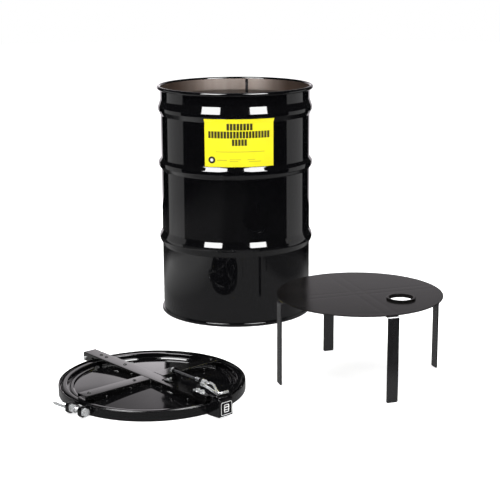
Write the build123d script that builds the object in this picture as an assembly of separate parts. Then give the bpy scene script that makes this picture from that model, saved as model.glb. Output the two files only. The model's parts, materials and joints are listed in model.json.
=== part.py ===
from build123d import *
import math
import os

# All sizes in millimetres, +Z up, origin on the drum's axis where it stands on the floor.

# Drum: a 55 US gallon open-head steel drum
body_r = 287.0
sheet = 1.2
drum_top = 881.7
curl_r = 7.2
curl_wrap = 330.0
chime_r = 293.8
chime_h = 13.0
head_z = 18.0
hoop_out = 10.5
lower_hoop_z = 297.0
upper_hoop_z = 585.0
bead_z = 798.0
bead_out = 9.6
seam_angle = 81.0
seam_half_angle = 1.5
label_angle = -86.3
label_half_angle = 26.1
label_low = 609.5
label_high = 786.0
label_thick = 0.3

# Lid and closing ring: centre on the floor, and the direction from hinge to latch
lid_x = -265.0
lid_y = -969.0
arm_angle = -48.7
ring_r = 303.0
ring_wall = 2.2
ring_h = 32.0
ring_lip_r = 289.5
shelf_z = 16.6
shelf_r = 294.5
split_angle = -82.8
split_half = 18.0
panel_r = 252.0
panel_z = 16.0
panel_t = 1.5
crown = 11.5
rim_r = 292.0
rim_z = 30.0
arm_w = 51.0
bar_w = 50.0
bar_t = 2.5
bar_top = 44.0
arm_front = 300.0
arm_back = -357.0
bar_end = 273.0
bead_clear = 246.0
cross_bolts = (72.0, 248.0)
cross_rivets = (104.0, 198.0)

# Hinge between ring and arm
pin_x = -347.0
pin_z = 26.0
pin_r = 5.0
ear_in = 15.0
ear_out = 21.0

# Closing bolt of the ring
bolt_r = 8.0
bolt_axis_r = 327.0
bolt_z = 20.0
bolt_head_s = 48.5
bolt_tail_s = -101.5
lug_s = 28.5
lug_t = 16.0
lug_out = 340.0

# Latch: a cranked rod that turns in two guides and carries a dog
rod_r = 4.0
rod_y = 20.0
rod_z = 80.0
rod_back = 70.0
rod_bend = 258.0
guide_back_x = 92.0
guide_front_x = 226.0
guide_t = 4.0
run_fit = 0.05

# Hood that takes the dog, on the ring
hood_half = 26.0
hood_t = 3.0
hood_front = 372.0

# Drain table
table_x = 414.7
table_y = -849.4
plate_r = 273.4
plate_t = 3.0
plate_top = 285.0
strap_w = 38.0
strap_t = 4.8
leg_r = 281.0
leg_bend = 10.0
leg_angle = 17.5
collar_r = 148.0
collar_angle = -30.0
collar_out = 46.0
collar_bore = 39.0
collar_low = 279.0
collar_high = 291.0

lid_place = Location((lid_x, lid_y, 0), (0, 0, arm_angle))
table_place = Location((table_x, table_y, 0))


def section(points):
    """A closed face in the XZ plane from (radius, height) points."""
    return make_face(Polyline(*[(r, 0, z) for r, z in points], close=True))


def turned(points, angle=360.0, start=0.0):
    """A body of revolution about Z from a section, beginning at a given angle."""
    return revolve(section(points), Axis.Z, angle).rotate(Axis.Z, start)


def block(x0, x1, y0, y1, z0, z1):
    """A box between two corners."""
    return Pos((x0 + x1) / 2, (y0 + y1) / 2, (z0 + z1) / 2) * Box(x1 - x0, y1 - y0, z1 - z0)


def rod_along(radius, start, end):
    """A round bar between two points."""
    line = Line(start, end)
    return sweep(Plane(line @ 0, z_dir=line % 0) * Circle(radius), path=line)


def hexagon(across_flats, height):
    """A hexagonal prism standing on the XY plane."""
    corner = across_flats / math.sqrt(3)
    return extrude(RegularPolygon(corner, 6), height)


def side_plate(points, y0, y1):
    """A plate with an outline in (x, z), between two y positions."""
    face = make_face(Polyline(*[(x, y0, z) for x, z in points], close=True))
    return extrude(face, y1 - y0, dir=(0, 1, 0))


# ---- Drum ----

def body_points(shift):
    """The body sheet's profile from the floor to the curl, moved in or out by shift."""
    r = body_r + shift
    points = [(r, 1.4)]
    for z, flank in ((lower_hoop_z, 28.0), (upper_hoop_z, 22.0)):
        points += [(r, z - flank), (r + hoop_out, z - 7.0), (r + hoop_out, z + 7.0), (r, z + flank)]
    points += [(r, bead_z - 27.0), (r + bead_out, bead_z - 7.0)]
    points += [(r + bead_out, bead_z + 4.0), (r, bead_z + 32.0), (r, drum_top - curl_r)]
    return points


def body_line(shift):
    """The body profile with its bends rounded."""
    bends = [12.0, 8.0, 8.0, 12.0] * 2 + [7.0, 5.0, 9.0, 16.0]
    points = [(r, 0, z) for r, z in body_points(shift)]
    return FilletPolyline(*points, radius=bends)


def curl_arc(radius):
    """The rolled top edge's arc of a given radius, from the body wall over the top."""
    cx = body_r - sheet + curl_r
    cz = drum_top - curl_r
    turns = (180.0, 180.0 - curl_wrap / 2, 180.0 - curl_wrap)
    points = [(cx + radius * math.cos(math.radians(a)), 0, cz + radius * math.sin(math.radians(a))) for a in turns]
    return ThreePointArc(*points)


def drum_shell():
    outer = body_line(0)
    inner = body_line(-sheet)
    curl_inside = curl_arc(curl_r - sheet)
    curl_outside = curl_arc(curl_r)
    foot = Line(inner @ 0, outer @ 0)
    tip = Line(curl_inside @ 1, curl_outside @ 1)
    face = make_face([outer, inner, curl_inside, curl_outside, foot, tip])
    return revolve(face, Axis.Z, 360)


def sheet_on_body(shift, thick, low, high, half_angle, middle):
    """A thin strip that follows the body profile between two heights."""
    near = body_line(shift)
    far = body_line(shift + thick)
    face = make_face([near, far, Line(near @ 0, far @ 0), Line(near @ 1, far @ 1)])
    strip = revolve(face, Axis.Z, 2 * half_angle).rotate(Axis.Z, middle - half_angle)
    return strip & block(-400, 400, -400, 400, low, high)


def drum_bottom_head():
    """The dished bottom with its rolled chime, which wraps the body's lower edge."""
    inner = body_r - sheet
    points = [(0, head_z), (inner - 4.0, head_z), (inner - 1.4, head_z - 3.0), (inner - 1.4, 0), (chime_r - 2.0, 0)]
    points += [(chime_r, 2.5), (chime_r, chime_h - 2.5), (chime_r - 2.0, chime_h), (body_r + 0.05, chime_h)]
    points += [(body_r + 0.05, chime_h - sheet), (chime_r - 2.6, chime_h - sheet)]
    points += [(chime_r - sheet, chime_h - 3.2), (chime_r - sheet, 3.2), (chime_r - 2.6, 1.3), (inner - 0.1, 1.3)]
    points += [(inner - 0.1, head_z - 2.0), (inner - 3.2, head_z + sheet), (0, head_z + sheet)]
    return turned(points)


# ---- Ring ----

def ring_band():
    """The ring's section: a wall, a lip under the drum's curl and a shelf above it."""
    inner = ring_r - ring_wall
    points = [(ring_lip_r, 0), (ring_r - 1.5, 0), (ring_r, 1.5), (ring_r, ring_h - 1.0), (ring_r - 1.0, ring_h)]
    points += [(inner - 0.6, ring_h), (inner - 1.6, ring_h - 1.2), (inner - 1.6, ring_h - 3.2), (inner, ring_h - 4.2)]
    points += [(inner, shelf_z + 1.8), (shelf_r, shelf_z + 1.8), (shelf_r, shelf_z), (inner, shelf_z)]
    points += [(inner, 2.0), (ring_lip_r, 2.0)]
    half = math.degrees(math.asin(split_half / ring_r))
    return turned(points, 360 - 2 * half, split_angle + half)


def at_split(shape):
    """Places a shape made with +X radial and +Y along the ring at the split."""
    return Rot(0, 0, split_angle) * shape


def bore_along_y(radius, s0, s1):
    """A round bar along the ring's tangent on the closing bolt's axis."""
    return rod_along(radius, (bolt_axis_r, s0, bolt_z), (bolt_axis_r, s1, bolt_z))


def ring_lug(side):
    """A closing lug: a nose round the bolt that runs back to the ring's wall."""
    s0 = side * lug_s - lug_t / 2
    s1 = side * lug_s + lug_t / 2
    back = ring_r - 8.0
    outline = [(back, 4.0), (bolt_axis_r + 6.0, 3.0), (lug_out, 10.0), (lug_out, 28.0)]
    outline += [(bolt_axis_r + 6.0, 35.0), (bolt_axis_r - 8.0, 35.0), (back, 28.0)]
    lug = side_plate(outline, s0, s1)
    lug = fillet(lug.edges().filter_by(Axis.Y).group_by(Axis.X)[-1], 3.0)
    lug -= Pos(0, 0, 20) * Cylinder(ring_r + 0.05, 60)
    lug -= bore_along_y(bolt_r + run_fit, s0 - 5, s1 + 5)
    return at_split(lug)


def ring_bolt():
    bolt = bore_along_y(bolt_r, bolt_tail_s, bolt_head_s - 10.0)
    head = Plane((bolt_axis_r, bolt_head_s - 10.0, bolt_z), z_dir=(0, 1, 0)) * hexagon(24.0, 10.0)
    bolt += head
    end = bolt.edges().filter_by(GeomType.CIRCLE).group_by(Axis.Y)[0]
    return at_split(chamfer(end, 1.5))


def jam_nut():
    """The lock nut, screwed up against the threaded lug."""
    s0 = -lug_s + lug_t / 2 + 0.4
    nut = Plane((bolt_axis_r, s0, bolt_z), z_dir=(0, 1, 0)) * hexagon(24.0, 20.0)
    nut -= bore_along_y(bolt_r + run_fit, s0 - 5, s0 + 30)
    return at_split(nut)


def hinge_bracket():
    """Two ears on a back plate that stands on the ring's wall."""
    ear = [(-312.0, 6.0), (-300.0, 6.0), (-300.0, 30.0), (-312.0, 34.0), (pin_x, pin_z + 11.0), (pin_x - 9.5, pin_z + 5.0)]
    ear += [(pin_x - 9.5, pin_z - 6.0), (pin_x, pin_z - 12.0)]
    bracket = block(-312, -300, -ear_out, ear_out, 6, 30)
    for y in (-ear_out, ear_in):
        bracket += side_plate(ear, y, y + ear_out - ear_in)
    bracket -= Pos(0, 0, 20) * Cylinder(ring_r + 0.05, 60)
    return bracket - rod_along(pin_r + run_fit, (pin_x, -40, pin_z), (pin_x, 40, pin_z))


def hinge_pin():
    """The hinge pin with a head on the far side and a chamfered near end."""
    pin = rod_along(pin_r, (pin_x, -30, pin_z), (pin_x, 29, pin_z))
    return pin + rod_along(8.5, (pin_x, 26.5, pin_z), (pin_x, 31.5, pin_z))


def latch_hood():
    """The folded catch box in front of the ring: front wall, two sides and a sloping lip."""
    outline = [(299.0, 4.0), (330.0, 4.0), (368.0, 7.0), (hood_front, 11.0), (hood_front, 62.0)]
    outline += [(348.0, 71.5), (340.0, 70.0), (322.0, 40.0), (299.0, 29.0)]
    hood = side_plate(outline, -hood_half, hood_half)
    edges = hood.edges().filter_by(Axis.Z).group_by(Axis.X)[-1]
    hood = fillet(edges, 2.5)
    room = [(290.0, -5.0), (366.0, -5.0), (hood_front - hood_t, 5.0), (hood_front - hood_t, 60.2)]
    room += [(347.0, 68.7), (335.0, 90.0), (290.0, 90.0)]
    hood -= side_plate(room, -hood_half + hood_t, hood_half - hood_t)
    return hood - Pos(0, 0, 20) * Cylinder(ring_r + 0.05, 100)


def hood_badge():
    """A plain rounded plate on the hood's front face."""
    plate = extrude(RectangleRounded(45.0, 43.0, 6.0), 0.6)
    return Plane((hood_front + 0.01, 0, 34.5), x_dir=(0, 1, 0), z_dir=(1, 0, 0)) * plate


def latch_striker():
    """The catch bar inside the hood's far wall."""
    inside = hood_half - hood_t
    bar = block(322, 344, 20.8, inside, 38.5, 43.5)
    return chamfer(bar.edges().filter_by(Axis.X).group_by(Axis.Y)[0], 0.8)


# ---- Lid ----

def crown_z(r):
    """Height of the lid panel's top at a radius: the panel is crowned towards its middle."""
    return panel_z + crown * (1 - min(r / panel_r, 1.0) ** 2)


def crown_arc(drop):
    """The panel's crown as an arc in the XZ plane, lowered by a given amount."""
    middle = panel_r / 2
    return ThreePointArc((0, 0, panel_z + crown - drop), (middle, 0, crown_z(middle) - drop), (panel_r, 0, panel_z - drop))


def lid_disc():
    """The pressed lid: crowned panel, one bead, a deep groove and the rim that holds the gasket."""
    top = [(panel_r, panel_z), (256.0, 20.0), (257.5, 21.0), (262.5, 21.0), (264.0, 20.0)]
    top += [(267.0, 16.5), (270.5, 16.5), (274.5, 27.5), (277.0, rim_z), (288.0, rim_z), (rim_r, rim_z - 4.0)]
    top += [(rim_r, 19.5)]
    under = [(rim_r - panel_t, 19.5), (rim_r - panel_t, rim_z - 4.8), (287.2, rim_z - panel_t)]
    under += [(277.8, rim_z - panel_t), (276.2, 27.0), (271.8, 15.0), (266.2, 15.0), (262.6, 19.2)]
    under += [(262.0, 19.5), (258.0, 19.5), (257.2, 19.2), (panel_r, panel_z - panel_t)]
    outer = Polyline(*[(r, 0, z) for r, z in top + under])
    middle = Line((0, 0, panel_z + crown - panel_t), (0, 0, panel_z + crown))
    return revolve(make_face([crown_arc(0), outer, crown_arc(panel_t), middle]), Axis.Z, 360)


def under_crown():
    """The space under the panel's top, a hair higher, to trim what stands on the panel."""
    lift = -0.03
    outer = Polyline((panel_r, 0, panel_z - lift), (panel_r, 0, 0), (0, 0, 0), (0, 0, panel_z + crown - lift))
    return revolve(make_face([crown_arc(lift), outer]), Axis.Z, 360)


def lid_gasket():
    return turned([(278.5, 18.0), (280.5, 17.0), (288.0, 17.0), (290.2, 18.5), (290.2, 24.8), (286.6, 28.3), (278.5, 28.3)])


def channel(x0, x1, width, notches):
    """An inverted channel along X, with outline notches cut from its flanges."""
    half = width / 2
    bar = block(x0, x1, -half, half, panel_z, bar_top)
    long_edges = bar.edges().filter_by(Axis.X).group_by(Axis.Z)[-1]
    bar = fillet(long_edges, 3.0)
    inside = block(x0 - 5, x1 + 5, -half + bar_t, half - bar_t, panel_z - 5, bar_top - bar_t)
    bar -= fillet(inside.edges().filter_by(Axis.X).group_by(Axis.Z)[-1], 1.0)
    for n0, n1, z in notches:
        bar -= block(n0, n1, -half - 5, half + 5, panel_z - 10, z)
    return bar - under_crown()


def lid_arm():
    """The hinged arm across the lid, notched over the lid's rim and over the ring."""
    notches = [(bead_clear, arm_front + 5, 31.0), (-294.0, -bead_clear, 31.0), (-309.0, -293.0, 36.0)]
    notches += [(292.0, arm_front + 5, 36.0)]
    arm = channel(arm_back, arm_front, arm_w, notches)
    arm -= rod_along(pin_r + run_fit, (pin_x, -40, pin_z), (pin_x, 40, pin_z))
    for x, y in arm_bolt_places():
        arm -= Pos(x, y, bar_top) * Cylinder(3.0 + run_fit, 20)
    for x, y, side in arm_rivet_places():
        z = rivet_z(abs(x))
        arm -= rod_along(2.5, (x, y - side * 4, z), (x, y + side * 3, z))
    return arm


def cross_bar(side):
    """One half of the cross-bar, from the arm's flange out to the lid's bead."""
    gap = arm_w / 2 + 0.05
    bar = channel(gap, bar_end, bar_w, [(bead_clear, bar_end + 5, 31.0)])
    for y in cross_bolts:
        bar -= Pos(y, 0, bar_top) * Cylinder(3.0 + run_fit, 20)
    for y in cross_rivets:
        z = rivet_z(y)
        for flank in (-1, 1):
            face = flank * bar_w / 2
            bar -= rod_along(2.5, (y, face - flank * 4, z), (y, face + flank * 3, z))
    return Rot(0, 0, 90 * side) * bar


def rivet_z(r):
    """Height of a flange rivet, just above the panel."""
    return crown_z(r) + 5.5


def arm_bolt_places():
    return [(-287.0, 0.0), (-257.0, 0.0), (-150.0, 0.0), (60.0, 0.0)]


def arm_rivet_places():
    """Rivets through the arm's two flanges: x, y of the outer face, and which side."""
    return [(x, side * arm_w / 2, side) for x in (-214.0, -80.0, 80.0, 214.0) for side in (-1, 1)]


def cross_places(distances):
    """Points on the cross-bar's centre line, on both halves."""
    return [(0.0, side * d) for d in distances for side in (-1, 1)]


def button_bolt(x, y, under):
    """A button-head bolt from a bar's web down to a given height."""
    head = Pos(x, y, bar_top + 1.6) * Cylinder(6.0, 3.2)
    head = fillet(head.edges().group_by(Axis.Z)[-1], 1.8)
    return head + Pos(x, y, (bar_top + under) / 2) * Cylinder(3.0, bar_top - under)


def nut_top(x, y):
    """Height of the panel's underside over the outermost corner of a nut."""
    return crown_z(math.hypot(x, y) + 6.0) - panel_t - 0.02


def bar_bolts():
    """Short bolts in the arm's web and longer ones that hold the cross-bar to the panel."""
    short = [button_bolt(x, y, bar_top - 9.0) for x, y in arm_bolt_places()[:2]]
    deep = arm_bolt_places()[2:] + cross_places(cross_bolts)
    return short + [button_bolt(x, y, nut_top(x, y) - 6.5) for x, y in deep]


def hex_nut(x, y, top):
    nut = Pos(x, y, top - 5.0) * hexagon(10.0, 5.0)
    return nut - Pos(x, y, top - 3) * Cylinder(3.0 + run_fit, 20)


def bar_nuts():
    """A nut under the arm's web for each short bolt, and one under the panel for each long one."""
    short = [hex_nut(x, y, bar_top - bar_t) for x, y in arm_bolt_places()[:2]]
    deep = arm_bolt_places()[2:] + cross_places(cross_bolts)
    return short + [hex_nut(x, y, nut_top(x, y)) for x, y in deep]


def rivet(x, y, dx, dy):
    """A dome-headed rivet whose head is on the outside of a flange; (dx, dy) points outwards."""
    z = rivet_z(abs(x) if dy else abs(y))
    shank = rod_along(2.45, (x - 5.2 * dx, y - 5.2 * dy, z), (x, y, z))
    head = rod_along(4.2, (x, y, z), (x + 2.0 * dx, y + 2.0 * dy, z))
    return shank + head


def flange_rivets():
    rivets = [rivet(x, y, 0, side) for x, y, side in arm_rivet_places()]
    for y in cross_rivets:
        for side in (-1, 1):
            rivets += [rivet(flank * bar_w / 2, side * y, flank, 0) for flank in (-1, 1)]
    return rivets


def clip(x, y, turn):
    """An angle clip inside a bar, with one leg on the flange and one on the panel."""
    along = max(abs(x), abs(y))
    base = crown_z(along - 12) + 0.05
    leg = block(-12, 12, 0, 2.5, base, base + 12)
    foot = block(-12, 12, -10, 0.0, base, base + 2.5)
    z = rivet_z(along)
    hole = rod_along(2.5, (0, -5, z), (0, 5, z))
    return Pos(x, y, 0) * Rot(0, 0, turn) * (leg + foot - hole)


def clip_angles():
    """The clips that fasten the bars' flanges to the panel, one behind each rivet."""
    arm_in = arm_w / 2 - bar_t - 2.5
    bar_in = bar_w / 2 - bar_t - 2.5
    clips = [clip(x, side * arm_in, 0 if side > 0 else 180) for x, y, side in arm_rivet_places()]
    for y in cross_rivets:
        for side in (-1, 1):
            clips += [clip(flank * bar_in, side * y, -90 * flank) for flank in (-1, 1)]
    return clips


def panel_holes():
    """Clearance holes for the long bolts."""
    places = arm_bolt_places()[2:] + cross_places(cross_bolts)
    return [Pos(x, y, panel_z) * Cylinder(3.0 + run_fit, 60) for x, y in places]


# ---- Latch ----

def rod_line():
    """The latch rod: straight in its guides, then a crank and the crosswise grip."""
    points = [(rod_back, rod_y, rod_z), (rod_bend, rod_y, rod_z), (276.0, rod_y - 0.5, 85.0)]
    points += [(297.0, 13.0, 85.5), (354.0, -15.0, 78.5), (355.0, 22.0, 78.5)]
    return FilletPolyline(*points, radius=[12.0, 14.0, 16.0, 7.5])


def latch_rod():
    path = rod_line()
    rod = sweep(Plane(path @ 0, z_dir=path % 0) * Circle(rod_r), path=path)
    ends = rod.edges().filter_by(GeomType.CIRCLE)
    ends = [e for e in ends if e.center().X < rod_back + 1 or (e.center() - (path @ 1)).length < 1]
    return chamfer(ends, 0.8)


def latch_dog():
    """The plated dog: a hub welded on the rod, a plate forward of it and a foot that turns under the catch."""
    hub = rod_along(8.0, (236, rod_y, rod_z), (250, rod_y, rod_z))
    web = block(236, 250, 8, 16, 70, 80)
    outline = [(236, 69.5), (236, 80), (250, 80), (262, 77), (322, 66.5), (340, 62), (340, 33.5), (327, 33.5)]
    outline += [(327, 54), (318, 58.5), (262, 69.5)]
    plate = side_plate(outline, 8.0, 12.0)
    foot = block(327, 340, 11.9, 20.0, 33.5, 37.0)
    dog = hub + web + plate + foot
    return dog - rod_along(rod_r, (200, rod_y, rod_z), (300, rod_y, rod_z))


def rod_guide(x, reach):
    """An upright guide for the rod on a foot bolted to the arm."""
    upright = block(x, x + guide_t, rod_y - 11, rod_y + 11, bar_top, rod_z + 9)
    upright = fillet(upright.edges().filter_by(Axis.X).group_by(Axis.Z)[-1], 8.0)
    guide = upright + block(x - reach, x, -4.0, rod_y + 3, bar_top, bar_top + guide_t)
    guide += block(x, x + guide_t, -4.0, rod_y, bar_top, bar_top + guide_t)
    guide -= rod_along(rod_r + run_fit, (x - 20, rod_y, rod_z), (x + 20, rod_y, rod_z))
    return guide


def guide_screws():
    """Two hex screws on each guide's foot."""
    screws = []
    for x in (guide_back_x - 14.0, guide_front_x - 14.0):
        for y in (4.0, 16.0):
            screws.append(Pos(x, y, bar_top + guide_t) * hexagon(8.0, 4.0))
    return screws


def latch_riser():
    """The raised saddle at the arm's front end, bolted down through its top."""
    riser = block(236, 298, -21, 3, bar_top, 58.0)
    riser = fillet(riser.edges().filter_by(Axis.X).group_by(Axis.Z)[-1], 3.0)
    riser -= block(230, 304, -18, 0, bar_top - 5, 55.0)
    for x in (246.0, 268.0):
        riser -= Pos(x, -9.0, 58) * Cylinder(4.0 + run_fit, 20)
    return riser


def riser_bolts():
    """Two hex bolts that stand on washers on the saddle."""
    bolts = []
    for x in (246.0, 268.0):
        bolt = Pos(x, -9.0, 58.8) * Cylinder(9.0, 1.6)
        bolt += Pos(x, -9.0, 59.6) * hexagon(13.0, 6.5)
        bolt += Pos(x, -9.0, 55.0) * Cylinder(4.0, 8.0)
        bolts.append(bolt)
    return bolts


def return_spring():
    """The torsion spring round the rod behind its front guide."""
    coil = Helix(pitch=2.2, height=19.8, radius=6.4)
    wire = sweep(Plane(coil @ 0, z_dir=coil % 0) * Circle(0.9), path=coil, is_frenet=True)
    return Plane((guide_front_x - 23.0, rod_y, rod_z), z_dir=(1, 0, 0)) * wire


def rod_collar():
    """The set collar that keeps the rod in its rear guide."""
    collar = rod_along(8.0, (guide_back_x - 9.3, rod_y, rod_z), (guide_back_x - 0.4, rod_y, rod_z))
    return collar - rod_along(rod_r, (60, rod_y, rod_z), (120, rod_y, rod_z))


# ---- Drain table ----

def collar_place():
    angle = math.radians(collar_angle)
    return Pos(collar_r * math.cos(angle), collar_r * math.sin(angle), 0)


def table_plate():
    plate = Pos(0, 0, plate_top - plate_t / 2) * Cylinder(plate_r, plate_t)
    plate = fillet(plate.edges().group_by(Axis.Z)[-1], 0.8)
    return plate - collar_place() * Pos(0, 0, plate_top) * Cylinder(collar_out, 20)


def hole_collar():
    ring = turned([(collar_bore, collar_low), (collar_out, collar_low), (collar_out, plate_top),
                   (collar_out + 1.5, plate_top), (collar_out + 1.5, collar_high - 1.0),
                   (collar_out + 0.5, collar_high), (collar_bore + 1.0, collar_high), (collar_bore, collar_high - 1.0)])
    return collar_place() * ring


def leg_path(start):
    """A strap's outer line from a start radius, round the bend and down to the floor."""
    top = plate_top - plate_t
    return FilletPolyline((start, 0, top), (leg_r, 0, top), (leg_r, 0, 0), radius=leg_bend)


def leg_strap(start):
    """A flat strap under the plate that bends down into a leg with rounded foot corners."""
    outer = leg_path(start)
    top = plate_top - plate_t - strap_t
    inner = FilletPolyline((start, 0, top), (leg_r - strap_t, 0, top), (leg_r - strap_t, 0, 0), radius=leg_bend - strap_t)
    face = make_face([outer, inner, Line(outer @ 0, inner @ 0), Line(outer @ 1, inner @ 1)])
    strap = extrude(face, strap_w / 2, both=True)
    feet = [e for e in strap.edges().filter_by(Axis.X) if e.center().Z < 1]
    return fillet(feet, 5.0)


def leg_strap_long():
    """One strap that runs right across and makes two opposite legs."""
    half = leg_strap(0.0)
    return Rot(0, 0, leg_angle) * (half + Rot(0, 0, 180) * half)


def leg_strap_half(side):
    return Rot(0, 0, leg_angle + 90 * side) * leg_strap(strap_w / 2 + 0.05)


def stitch_weld(turn, radius, side):
    """A short fillet weld between a strap's edge and the plate's underside."""
    z = plate_top - plate_t
    edge = side * strap_w / 2
    outline = [(radius, edge, z), (radius, edge + side * 3.5, z), (radius, edge, z - 3.5)]
    face = make_face(Polyline(*outline, close=True))
    return Rot(0, 0, turn) * extrude(face, 30.0, dir=(1, 0, 0))


def table_welds():
    """Stitch welds on both edges of every strap."""
    welds = []
    for leg in range(4):
        for radius in (70.0, 210.0):
            welds += [stitch_weld(leg_angle + 90 * leg, radius, side) for side in (-1, 1)]
    return welds


def save(name, shape, place=Location()):
    """Writes one node; a list of pieces becomes a group of separate solids."""
    pieces = shape if isinstance(shape, list) else [shape]
    solids = [place * solid for piece in pieces for solid in piece.solids()]
    node = solids[0] if len(solids) == 1 else Compound(children=solids)
    export_step(node, os.path.join("parts", name + ".step"))


def main():
    os.makedirs("parts", exist_ok=True)
    save("drum_shell", drum_shell())
    save("drum_bottom_head", drum_bottom_head())
    save("side_seam_weld", sheet_on_body(-sheet - 0.5, 0.45, 22.0, 868.0, seam_half_angle, seam_angle))
    save("drum_label", sheet_on_body(0.02, label_thick, label_low, label_high, label_half_angle, label_angle))

    save("ring_band", ring_band(), lid_place)
    save("ring_lug_head_end", ring_lug(1), lid_place)
    save("ring_lug_thread_end", ring_lug(-1), lid_place)
    save("ring_bolt", ring_bolt(), lid_place)
    save("jam_nut", jam_nut(), lid_place)
    save("hinge_bracket", hinge_bracket(), lid_place)
    save("hinge_pin", hinge_pin(), lid_place)
    save("latch_hood", latch_hood(), lid_place)
    save("hood_badge", hood_badge(), lid_place)
    save("latch_striker", latch_striker(), lid_place)

    disc = lid_disc()
    for hole in panel_holes():
        disc -= hole
    save("lid_disc", disc, lid_place)
    save("lid_gasket", lid_gasket(), lid_place)
    save("lid_arm", lid_arm(), lid_place)
    save("cross_bar_near", cross_bar(-1), lid_place)
    save("cross_bar_far", cross_bar(1), lid_place)
    save("bar_bolts", bar_bolts(), lid_place)
    save("bar_nuts", bar_nuts(), lid_place)
    save("flange_rivets", flange_rivets(), lid_place)
    save("clip_angles", clip_angles(), lid_place)
    save("latch_riser", latch_riser(), lid_place)
    save("riser_bolts", riser_bolts(), lid_place)
    save("rod_guide_rear", rod_guide(guide_back_x, 24.0), lid_place)
    save("rod_guide_front", rod_guide(guide_front_x, 24.0), lid_place)
    save("guide_screws", guide_screws(), lid_place)
    save("return_spring", return_spring(), lid_place)
    save("latch_rod", latch_rod(), lid_place)
    save("latch_dog", latch_dog(), lid_place)
    save("rod_collar", rod_collar(), lid_place)

    save("table_plate", table_plate(), table_place)
    save("hole_collar", hole_collar(), table_place)
    save("leg_strap_long", leg_strap_long(), table_place)
    save("leg_strap_front", leg_strap_half(-1), table_place)
    save("leg_strap_back", leg_strap_half(1), table_place)
    save("table_welds", table_welds(), table_place)


main()
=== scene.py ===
"""Looks of the open-head drum kit: the drum, its latching lid in a bolted ring, and the drain table."""
import json
import math
import random

import bmesh
import bpy
from mathutils import Matrix, Vector

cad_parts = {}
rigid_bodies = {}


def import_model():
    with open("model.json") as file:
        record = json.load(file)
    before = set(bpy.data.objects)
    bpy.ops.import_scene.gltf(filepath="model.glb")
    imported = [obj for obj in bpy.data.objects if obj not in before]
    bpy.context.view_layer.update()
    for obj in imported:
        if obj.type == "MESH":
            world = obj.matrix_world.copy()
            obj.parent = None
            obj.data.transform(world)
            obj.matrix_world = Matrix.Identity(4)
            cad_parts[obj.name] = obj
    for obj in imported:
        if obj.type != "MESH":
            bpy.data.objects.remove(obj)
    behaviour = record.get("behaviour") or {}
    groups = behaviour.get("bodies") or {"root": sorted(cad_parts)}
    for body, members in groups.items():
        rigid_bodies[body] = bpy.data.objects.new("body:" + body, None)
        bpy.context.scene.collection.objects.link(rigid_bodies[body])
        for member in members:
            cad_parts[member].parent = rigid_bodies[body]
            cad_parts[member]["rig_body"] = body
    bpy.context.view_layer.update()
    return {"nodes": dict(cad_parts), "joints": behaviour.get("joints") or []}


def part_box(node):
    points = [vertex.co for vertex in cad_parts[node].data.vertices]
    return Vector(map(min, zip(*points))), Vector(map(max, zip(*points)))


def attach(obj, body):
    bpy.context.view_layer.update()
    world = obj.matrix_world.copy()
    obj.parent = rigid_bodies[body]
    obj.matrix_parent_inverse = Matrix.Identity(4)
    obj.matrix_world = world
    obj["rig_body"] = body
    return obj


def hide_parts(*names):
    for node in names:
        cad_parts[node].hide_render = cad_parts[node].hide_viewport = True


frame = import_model()

MM = 0.001
SEED = 55

# Drum, in millimetres, as in the CAD
BODY_R = 287.0
SHEET = 1.2
TOP_Z = 881.7
CURL_R = 7.2
CURL_WRAP = 330.0
HOOP_OUT = 10.5
HOOPS = ((297.0, 28.0), (585.0, 22.0))
BEAD_Z = 798.0
BEAD_OUT = 9.6
HEAD_Z = 18.0
CHIME_R = 293.8
CHIME_H = 13.0
SEAM_ANGLE = 81.0
LABEL_ANGLE = -86.3
LABEL_HALF = 26.1
LABEL_LOW = 609.5
LABEL_HIGH = 786.0

# Ring and lid
RING_R = 303.0
RING_WALL = 2.2
RING_H = 32.0
RING_LIP_R = 289.5
SHELF_Z = 16.6
SHELF_R = 294.5
SPLIT_ANGLE = -82.8
SPLIT_HALF = 18.0
PANEL_R = 252.0
PANEL_Z = 16.0
CROWN = 11.5
RIM_R = 292.0
BAR_TOP = 44.0
ARM_W = 51.0
BAR_W = 50.0
BOLT_AXIS_R = 327.0
BOLT_Z = 20.0
ROD_R = 4.0
ROD_Y = 20.0
ROD_Z = 80.0
HOOD_FRONT = 372.0
HOOD_MIDDLE = 34.5
HOOD_FLANK = 26.2
LUG_S = 28.5
LUG_HALF = 8.1
SADDLE_TOP = 58.0
ARM_STEP = 48.0

# Drain table
PLATE_R = 273.4
PLATE_T = 3.0
PLATE_TOP = 285.0
STRAP_W = 38.0
COLLAR_OUT = 46.0
COLLAR_BORE = 39.0
COLLAR_LOW = 279.0
COLLAR_HIGH = 291.0


def centre_of(node):
    low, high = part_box(node)
    return (low + high) / 2


def joint(name):
    return next(j for j in frame["joints"] if j["name"] == name)


ring_centre = centre_of("ring_band")
hinge_at = Vector(joint("lid_hinge")["pos_m"])
to_latch = Vector((ring_centre.x - hinge_at.x, ring_centre.y - hinge_at.y, 0))
ARM_TURN = math.atan2(to_latch.y, to_latch.x)
IN_LID = Matrix.Translation((ring_centre.x, ring_centre.y, 0)) @ Matrix.Rotation(ARM_TURN, 4, "Z")
IN_SPLIT = IN_LID @ Matrix.Rotation(math.radians(SPLIT_ANGLE), 4, "Z")
table_centre = centre_of("table_plate")
IN_TABLE = Matrix.Translation((table_centre.x, table_centre.y, 0))
collar_centre = centre_of("hole_collar")
IN_COLLAR = Matrix.Translation((collar_centre.x, collar_centre.y, 0))
STRAP_TURN = math.radians(17.5)


# ---- Shader building ----

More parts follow.
